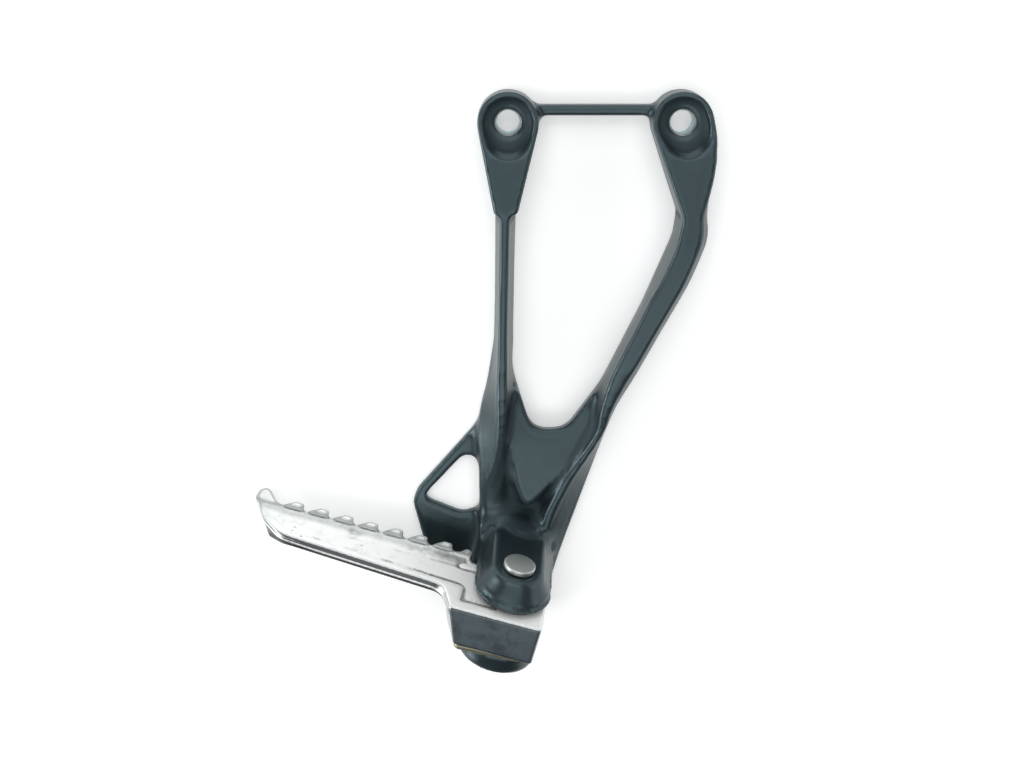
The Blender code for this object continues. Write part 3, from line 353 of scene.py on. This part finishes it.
# %% [markdown]
# ## Clip, ball and spring
#
# The clip is a stamped open ring in the pin's groove. The detent is a steel ball pushed out of the root by a coil
# spring. The clip is a rounded section carried along an arc, the ball a sphere over two angles, and the spring a
# circle carried along a helix.

# %% Clip
def rounded_section(half_wide, half_high, steps=40):
    """A superellipse of power six: nearly a rectangle, with soft corners."""
    angle = np.linspace(0, 2 * math.pi, steps, endpoint=False)
    wide = half_wide * np.sign(np.cos(angle)) * np.abs(np.cos(angle)) ** (1 / 3)
    high = half_high * np.sign(np.sin(angle)) * np.abs(np.sin(angle)) ** (1 / 3)
    return wide, high


CLIP_INNER, CLIP_OUTER, CLIP_LOW, CLIP_HIGH, CLIP_MOUTH = (v * MM for v in (3.3, 6.5, -23.2, -22.2, 5.0))
wide, high = rounded_section((CLIP_OUTER - CLIP_INNER) / 2, (CLIP_HIGH - CLIP_LOW) / 2)
share = np.concatenate([[0], np.linspace(0, 1, 90), [1]])[:, None]
size = np.ones_like(share)
size[[0, -1]] = 0
radius = (CLIP_INNER + CLIP_OUTER) / 2 + size * wide
mouth = np.arcsin(CLIP_MOUTH / 2 / radius)
angle = PEG_DROOP + mouth + share * (2 * math.pi - 2 * mouth)
height = (CLIP_LOW + CLIP_HIGH) / 2 + size * high
points = (PIVOT + (radius * np.cos(angle))[..., None] * level + (radius * np.sin(angle))[..., None] * upright
          + height[..., None] * PIN_AXIS)
clip = make_piece("open_ring_clip", points.reshape(-1, 3), wrapped_faces(*radius.shape), "bracket", "spring_steel",
                  "pin_clip")

# %% Ball and spring
ball_centre = np.array(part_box("detent_ball")).mean(0)
BALL_R = 3.0 * MM
north = np.linspace(0, math.pi, 33)[:, None, None]
east = np.linspace(0, 2 * math.pi, 48, endpoint=False)[None, :, None]
points = ball_centre + BALL_R * (np.sin(north) * (np.cos(east) * PEG_ALONG + np.sin(east) * PEG_OUT)
                                 + np.cos(north) * PIN_AXIS)
ball = make_piece("click_ball", points.reshape(-1, 3), wrapped_faces(33, 48), "ball", "spring_steel", "detent_ball")

SPRING_R, WIRE_R, TURNS = 2.15 * MM, 0.35 * MM, 5
SPRING_LOW, SPRING_HIGH = 2.95 * MM, 9.55 * MM
t = np.concatenate([[0], np.linspace(0, 1, 300), [1]])
turn = 2 * math.pi * TURNS * t
outward = np.cos(turn)[:, None] * PEG_ALONG + np.sin(turn)[:, None] * PEG_OUT
core = ball_centre + SPRING_R * outward + (SPRING_LOW + (SPRING_HIGH - SPRING_LOW) * t)[:, None] * PIN_AXIS
wire = WIRE_R * np.ones_like(t)
wire[[0, -1]] = 0
around = np.linspace(0, 2 * math.pi, 12, endpoint=False)
points = core[:, None] + wire[:, None, None] * (np.cos(around)[None, :, None] * outward[:, None]
                                                + np.sin(around)[None, :, None] * PIN_AXIS)
spring = make_piece("click_spring", points.reshape(-1, 3), wrapped_faces(len(t), 12), "peg", "spring_steel",
                    "detent_spring")

# %% [markdown]
# ## Writing shaders as sums
#
# A finish is a small graph of nodes. Wiring it link by link hides what it does, so one class wraps a socket and turns
# ordinary arithmetic into Math nodes, and one method adds any other kind of node.

# %% Shader sockets that do arithmetic
class Value:
    """A socket of a finish. Sums, differences and products of values add Math nodes."""

    def __init__(self, finish, socket):
        self.finish = finish
        self.socket = socket

    def __add__(self, other):
        return self.finish.maths("ADD", self, other)

    def __sub__(self, other):
        return self.finish.maths("SUBTRACT", self, other)

    def __rsub__(self, other):
        return self.finish.maths("SUBTRACT", other, self)

    def __mul__(self, other):
        return self.finish.maths("MULTIPLY", self, other)

    __radd__ = __add__
    __rmul__ = __mul__


class Finish:
    """A material in the making."""

    def __init__(self, name):
        self.material = bpy.data.materials.new(name)
        self.material.use_nodes = True
        self.tree = self.material.node_tree
        self.tree.nodes.clear()

    def node(self, kind, settings=None, sockets=None, output=0):
        """Add a node: its settings first, then a value or a link for each named socket."""
        made = self.tree.nodes.new(kind)
        for key, value in (settings or {}).items():
            setattr(made, key, value)
        for key, value in (sockets or {}).items():
            if isinstance(value, Value):
                self.tree.links.new(value.socket, made.inputs[key])
            else:
                made.inputs[key].default_value = value
        return Value(self, made.outputs[output])

    def maths(self, operation, first, second):
        return self.node("ShaderNodeMath", {"operation": operation}, {0: first, 1: second})

    def place(self):
        return self.node("ShaderNodeTexCoord", output="Object")

    def reach(self, way):
        """How far from the pivot a place lies along a direction, in metres."""
        along = self.node("ShaderNodeVectorMath", {"operation": "DOT_PRODUCT"}, {0: self.place(), 1: tuple(way)},
                          output="Value")
        return along - float(PIVOT @ way)

    def attribute(self, name):
        return self.node("ShaderNodeAttribute", {"attribute_name": name}, output="Fac")

    def noise(self, size, detail=2.0, roughness=0.5):
        """Noise from 0 to 1 whose blobs are about that size in metres."""
        return self.node("ShaderNodeTexNoise", None, {"Vector": self.place(), "Scale": 0.6 / size, "Detail": detail,
                                                      "Roughness": roughness})

    def step(self, value, low, high):
        """A smooth rise from 0 at low to 1 at high, or a fall where low is above high."""
        return self.node("ShaderNodeMapRange", {"interpolation_type": "SMOOTHSTEP"},
                         {"Value": value, "From Min": low, "From Max": high})

    def mix(self, share, first, second):
        """A colour between two colours."""
        colour = {"data_type": "RGBA", "clamp_factor": True}
        return self.node("ShaderNodeMix", colour, {0: share, 6: first, 7: second}, output=2)

    def bump(self, height, distance, strength=1.0):
        return self.node("ShaderNodeBump", None, {"Height": height, "Distance": distance, "Strength": strength})

    def done(self, shader):
        out = self.tree.nodes.new("ShaderNodeOutputMaterial")
        self.tree.links.new(shader.socket, out.inputs["Surface"])
        return self.material

    def metal_or_paint(self, **sockets):
        """The Principled shader, with its sockets named in words."""
        names = {"colour": "Base Color", "roughness": "Roughness", "metallic": "Metallic", "normal": "Normal",
                 "tint": "Specular Tint", "index": "IOR"}
        return self.done(self.node("ShaderNodeBsdfPrincipled", None, {names[k]: v for k, v in sockets.items()}))

# %% [markdown]
# ## Satin black paint
#
# The hanger's paint is a thin satin black over a slightly grainy casting. It is a touch blue, greyer where it is
# rubbed, and bare metal shows in the two bolt holes. A plain dark colour would look like plastic, so roughness and
# colour drift slowly over the surface and a fine grain bumps it.

# %% Hanger paint
def black(value):
    return (0.66 * value, value, 1.2 * value, 1)


paint = Finish("satin_black_paint")
drift = paint.noise(22 * MM, 3)
grain = paint.noise(0.9 * MM, 3, 0.6)
rub = paint.step(paint.attribute("worn") * (0.5 + paint.noise(5 * MM, 4)), 0.35, 1.1)
colour = paint.mix(drift, black(0.011), black(0.018))
colour = paint.mix(rub * 0.4, colour, black(0.04))
dust = paint.step(paint.attribute("sunk"), 0.12, 0.6)
rough = 0.27 + 0.09 * drift - 0.03 * rub + 0.05 * paint.noise(3 * MM) + 0.28 * dust


def bolt_wall(finish):
    """1 on the walls of the bolt holes: close to a bolt's axis, measured across it."""
    nearest = None
    for axis in BOLT_AXES:
        flat = finish.node("ShaderNodeVectorMath", {"operation": "MULTIPLY"}, {0: finish.place(), 1: (1, 1, 0)})
        away = finish.node("ShaderNodeVectorMath", {"operation": "DISTANCE"},
                           {0: flat, 1: (axis[0], axis[1], 0)}, output="Value")
        nearest = away if nearest is None else finish.maths("MINIMUM", nearest, away)
    return finish.step(nearest, 5.0 * MM, 4.8 * MM)


bare = bolt_wall(paint)
paint_material = paint.metal_or_paint(
    colour=paint.mix(bare, colour, (0.62, 0.63, 0.62, 1)),
    metallic=bare,
    roughness=rough * (1 - bare) + 0.38 * bare,
    normal=paint.bump(0.7 * grain + 0.3 * paint.noise(5 * MM), 0.12 * MM, 0.6),
    tint=(0.66, 0.93, 1.0, 1),
    index=1.6,
)
bracket.data.materials.append(paint_material)
print("paint nodes:", len(paint.tree.nodes))

# %% [markdown]
# ## Bare cast aluminium
#
# The peg was cast and never coated. Its flat upper faces were blasted to a pale matt finish and are painted near
# white as painted light. Painted shade greys the peg along the band below the teeth, on the flare there and, more
# lightly, at the tip. The hinge's front face was milled, and is painted dark blue-grey as painted shade, and smudged.
# The blade's edge is painted near black above and below the parting line as painted shade, with a painted highlight
# along the parting ridge, and the edges of the teeth get dark outlines of painted shade. The corners are darker in
# broken patches, most of all near the hinge, and there are a few dark pits. One colour can't say that, so the finish
# asks which way the surface faces and how far from the pivot it lies.

# %% Peg metal
MILLED_TO, HINGE_TO, TIP_FROM = 22 * MM, 28 * MM, 93 * MM
TREAD_FROM, TEETH_FROM = -11 * MM, -15.3 * MM

cast = Finish("bare_cast_aluminium")
along = cast.reach(PEG_ALONG)
out = cast.reach(PEG_OUT)
near = cast.attribute("near")
outer = cast.attribute("outer")
cloud = cast.noise(16 * MM, 4, 0.6)
fine = cast.noise(0.7 * MM, 3, 0.6)
# Painted light on a real finish: the faces turned along the pin are a pale matt blast, painted near white.
blasted_and_lit = cast.step(near, 0.55, 0.9)
# Painted shade: the blade's edge above the parting line is painted near black.
edge = cast.step(near, 0.08, 0.18) * cast.step(outer, 0.75, 0.93)
# Painted shade: the blade's edge below the parting line, turned down, is painted near black too.
shaded_underside = cast.step(near, -0.06, -0.2) * cast.step(outer, 0.3, 0.7)
sweep = cast.step(outer, 0.2, 0.45) * cast.step(near, 0.5, 0.75)
tread = cast.step(out, TREAD_FROM, TREAD_FROM - 3.5 * MM)
tip = cast.step(along, TIP_FROM, TIP_FROM + 9 * MM)
band = cast.step(out, TREAD_FROM + 0.5 * MM, TREAD_FROM - 2 * MM) * cast.step(out, TEETH_FROM - 1.7 * MM, TEETH_FROM)
# Painted shade: grey on the flare and the band below the teeth, and a lighter grey at the tip.
grey = cast.maths("MAXIMUM", sweep, cast.maths("MAXIMUM", band, tip * 0.45))
# Painted shade: dark outlines on the edges of the teeth.
tooth_edge_shade = tread * cast.step(cast.attribute("worn"), 0.6, 0.95)
# Painted highlight: a pale line along the parting ridge on the blade's edge.
ridge_highlight = cast.step(cast.maths("ABSOLUTE", cast.reach(PIN_AXIS) - RIDGE_UP, 0.0), 0.55 * MM, 0.25 * MM)
ridge_highlight = ridge_highlight * cast.step(outer, 0.1, 0.4) * cast.step(along, MILLED_TO + 1 * MM, MILLED_TO + 4 * MM)
# Darker in the hollows: in broken patches, and nearly all along them near the hinge.
broken = cast.step(cast.noise(9 * MM, 3), 0.46, 0.66) * cast.step(cast.noise(1.4 * MM, 3, 0.7), 0.3, 0.6)
hinge = cast.step(along, HINGE_TO + 8 * MM, HINGE_TO)
broken = cast.maths("MAXIMUM", broken, hinge * (0.35 + 0.9 * cast.noise(1.2 * MM, 3, 0.7)))
dark_in_hollows = cast.step(cast.attribute("sunk"), 0.12, 0.4) * broken * (1 - 0.75 * tread)
pits = cast.step(cast.noise(1.3 * MM, 2), 0.67, 0.72) * cast.step(cast.noise(15 * MM, 2), 0.5, 0.62)
scuff = cast.step(cast.noise(4 * MM, 5, 0.75), 0.5, 0.75)
# Painted shade: the hinge's milled front face is painted dark blue-grey, and smudged.
milled_face_shade = cast.step(outer, 0.85, 0.96) * cast.step(along, MILLED_TO + 2 * MM, MILLED_TO)
smudge = cast.step(cast.noise(5 * MM, 4, 0.65), 0.42, 0.68)
colour = cast.mix(cloud, (0.56, 0.58, 0.58, 1), (0.42, 0.44, 0.44, 1))
# Painted shade: dark blue-grey on the hinge's front face, with smudges.
colour = cast.mix(milled_face_shade, colour, cast.mix(smudge, (0.25, 0.32, 0.36, 1), (0.17, 0.205, 0.235, 1)))
# Painted light: near white on the faces turned along the pin.
colour = cast.mix(blasted_and_lit, colour, cast.mix(scuff, (0.97, 0.98, 0.97, 1), (0.80, 0.84, 0.82, 1)))
# Painted shade in grey on the flare, the band below the teeth and the tip.
colour = cast.mix(grey * (0.35 + 0.6 * cast.noise(2 * MM, 4, 0.7)), colour, (0.42, 0.46, 0.45, 1))
# Painted shade: dark outlines on the teeth's edges.
colour = cast.mix(tooth_edge_shade * 0.5, colour, (0.16, 0.17, 0.165, 1))
# Painted shade: near black on the blade's edge, above and below the parting line.
colour = cast.mix(edge * 0.95, colour, (0.055, 0.06, 0.065, 1))
colour = cast.mix(shaded_underside * 0.95, colour, (0.05, 0.054, 0.057, 1))
# Painted highlight along the parting ridge.
colour = cast.mix(ridge_highlight * 0.9, colour, (0.85, 0.87, 0.86, 1))
# Darker in the hollows and in the pits.
colour = cast.mix(cast.maths("MAXIMUM", dark_in_hollows, pits * blasted_and_lit) * 0.9, colour, (0.04, 0.045, 0.05, 1))
cast_material = cast.metal_or_paint(
    colour=colour,
    metallic=1.0 - 0.5 * blasted_and_lit,
    roughness=0.32 + 0.1 * cloud + 0.16 * blasted_and_lit + 0.2 * dark_in_hollows,
    normal=cast.bump(0.6 * fine + 0.4 * cast.noise(3 * MM, 3), 0.1 * MM, 0.5),
)
peg.data.materials.append(cast_material)
print("peg metal nodes:", len(cast.tree.nodes))

# %% [markdown]
# ## Steel and zinc
#
# The pin, washers, clip, ball and spring are steel that has dulled, and the plate has a yellow zinc coat.

# %% Small metals
def dull_steel(name, tone, rough):
    """Steel of one grey, clouded, with a fine grain left to the bump."""
    steel = Finish(name)
    cloud = steel.noise(4 * MM, 4, 0.6)
    colour = steel.mix(cloud, (0.95 * tone, tone, 0.97 * tone, 1), (0.7 * tone, 0.74 * tone, 0.72 * tone, 1))
    return steel.metal_or_paint(
        colour=colour,
        metallic=1.0,
        roughness=rough + 0.12 * cloud,
        normal=steel.bump(steel.noise(0.5 * MM, 3), 0.05 * MM, 0.4),
    )


pin.data.materials.append(dull_steel("pin_head_steel", 0.60, 0.36))
ring.data.materials.append(dull_steel("thrust_ring_steel", 0.10, 0.40))
washer.data.materials.append(dull_steel("tail_washer_steel", 0.45, 0.34))
spring_steel = dull_steel("bright_spring_steel", 0.50, 0.26)
for piece in (clip, ball, spring):
    piece.data.materials.append(spring_steel)

zinc = Finish("yellow_zinc")
cloud = zinc.noise(5 * MM, 4, 0.6)
zinc_material = zinc.metal_or_paint(
    colour=zinc.mix(cloud, (0.30, 0.29, 0.21, 1), (0.22, 0.21, 0.16, 1)),
    metallic=1.0,
    roughness=0.42 + 0.14 * cloud,
    normal=zinc.bump(zinc.noise(0.6 * MM, 3), 0.04 * MM, 0.4),
)
plate.data.materials.append(zinc_material)
print("finishes:", sorted(material.name for material in bpy.data.materials))

# %% [markdown]
# ## Floor
#
# The part lies on a white table. The floor is a pale diffuse plane. Seen by the camera or mirrored in metal, it is
# lifted to white, and the object's shadow still shows on it. Far from the object the lamps don't reach, so there the
# camera sees it glow by itself, and no horizon shows.

# %% Floor
floor_mesh = bpy.data.meshes.new("floor")
FLOOR_HALF = 4.0
floor_mesh.from_pydata([(-FLOOR_HALF, -FLOOR_HALF, 0), (FLOOR_HALF, -FLOOR_HALF, 0), (FLOOR_HALF, FLOOR_HALF, 0),
                        (-FLOOR_HALF, FLOOR_HALF, 0)], [], [(0, 1, 2, 3)])
floor = bpy.data.objects.new("floor", floor_mesh)
floor.location.z = -0.1 * MM
bpy.context.scene.collection.objects.link(floor)

table = Finish("white_table")
TABLE_GLOW, FAR_FROM, FAR_TO = 0.30, 0.5, 1.2
seen = table.node("ShaderNodeLightPath", output="Is Camera Ray")
mirrored = table.node("ShaderNodeLightPath", output="Is Glossy Ray")
away = table.node("ShaderNodeVectorMath", {"operation": "LENGTH"}, {0: table.place()}, output="Value")
strength = table.maths("MAXIMUM", seen, mirrored) * TABLE_GLOW + seen * table.step(away, FAR_FROM, FAR_TO)
glow = table.node("ShaderNodeEmission", None, {"Color": (1, 1, 1, 1), "Strength": strength})
chalk = table.node("ShaderNodeBsdfDiffuse", None, {"Color": (0.86, 0.88, 0.88, 1)})
floor_mesh.materials.append(table.done(table.node("ShaderNodeAddShader", None, {0: chalk, 1: glow})))

print("floor:", 2 * FLOOR_HALF, "m wide")

# %% [markdown]
# ## Light
#
# Satin paint shows its shape by what it mirrors, so the light is six soft boxes rather than one bright sky. Two low
# ones light the flanks of the struts, one behind lights the ears, one low behind lights the bolt recesses, and two
# above light the flat tops. Together they light a level surface about as brightly as its colour is written.

# %% Lamps
def soft_box(name, place, width, height, brightness):
    """A rectangle of even brightness that faces the object. Its power is brightness times pi times area."""
    lamp = bpy.data.lights.new(name, "AREA")
    lamp.shape = "RECTANGLE"
    lamp.size, lamp.size_y = width, height
    lamp.energy = brightness * math.pi * width * height
    box = bpy.data.objects.new(name, lamp)
    bpy.context.scene.collection.objects.link(box)
    box.location = place
    box.rotation_euler = (-box.location).to_track_quat("-Z", "Y").to_euler()
    box.visible_camera = False
    return box


soft_box("left_box", (-0.95, -0.10, 0.26), 1.0, 0.44, 6.2)
soft_box("right_box", (0.95, 0.05, 0.28), 1.0, 0.42, 1.7)
soft_box("back_box", (0.0, 0.80, 0.95), 1.2, 0.70, 1.65)
soft_box("low_box", (0.0, 1.10, 0.24), 1.3, 0.30, 2.6)
soft_box("top_box", (0.0, 0.30, 1.10), 1.3, 0.95, 1.15)
soft_box("front_box", (0.0, -0.40, 1.08), 1.3, 0.45, 2.4)

AMBIENT = 0.07
world = bpy.data.worlds.new("studio")
bpy.context.scene.world = world
world.use_nodes = True
background = world.node_tree.nodes["Background"]
path = world.node_tree.nodes.new("ShaderNodeLightPath")
shade = world.node_tree.nodes.new("ShaderNodeMapRange")
shade.inputs["To Min"].default_value = AMBIENT
world.node_tree.links.new(path.outputs["Is Camera Ray"], shade.inputs["Value"])
world.node_tree.links.new(shade.outputs["Result"], background.inputs["Strength"])
background.inputs["Color"].default_value = (1, 1, 1, 1)

print("lamps:", sorted(light.name for light in bpy.data.lights))

# %% [markdown]
# ## Camera
#
# The camera looks down on the table from about half a metre, tilted back a little. Its place is given from the left
# bolt's axis, because the two bolt eyes are the surest marks of scale.

# %% Camera
VIEW_TILT = math.radians(16.2)
CAMERA_FROM_LEFT_BOLT = np.array([1.43, 51.03, 530.95]) * MM
camera = bpy.data.objects.new("camera", bpy.data.cameras.new("camera"))
SENSOR, FOCAL_PIXELS, IMAGE_PIXELS = 36, 1400, 1024
camera.data.lens = SENSOR * FOCAL_PIXELS / IMAGE_PIXELS
camera.data.sensor_width = SENSOR
camera.location = BOLT_AXES[0] * [1, 1, 0] + CAMERA_FROM_LEFT_BOLT
camera.rotation_euler = (-VIEW_TILT, 0, 0)
bpy.context.scene.collection.objects.link(camera)
bpy.context.scene.camera = camera
bpy.context.scene.view_settings.view_transform = "Standard"
print("camera:", np.round(np.array(camera.location) * 1000, 1), "mm")
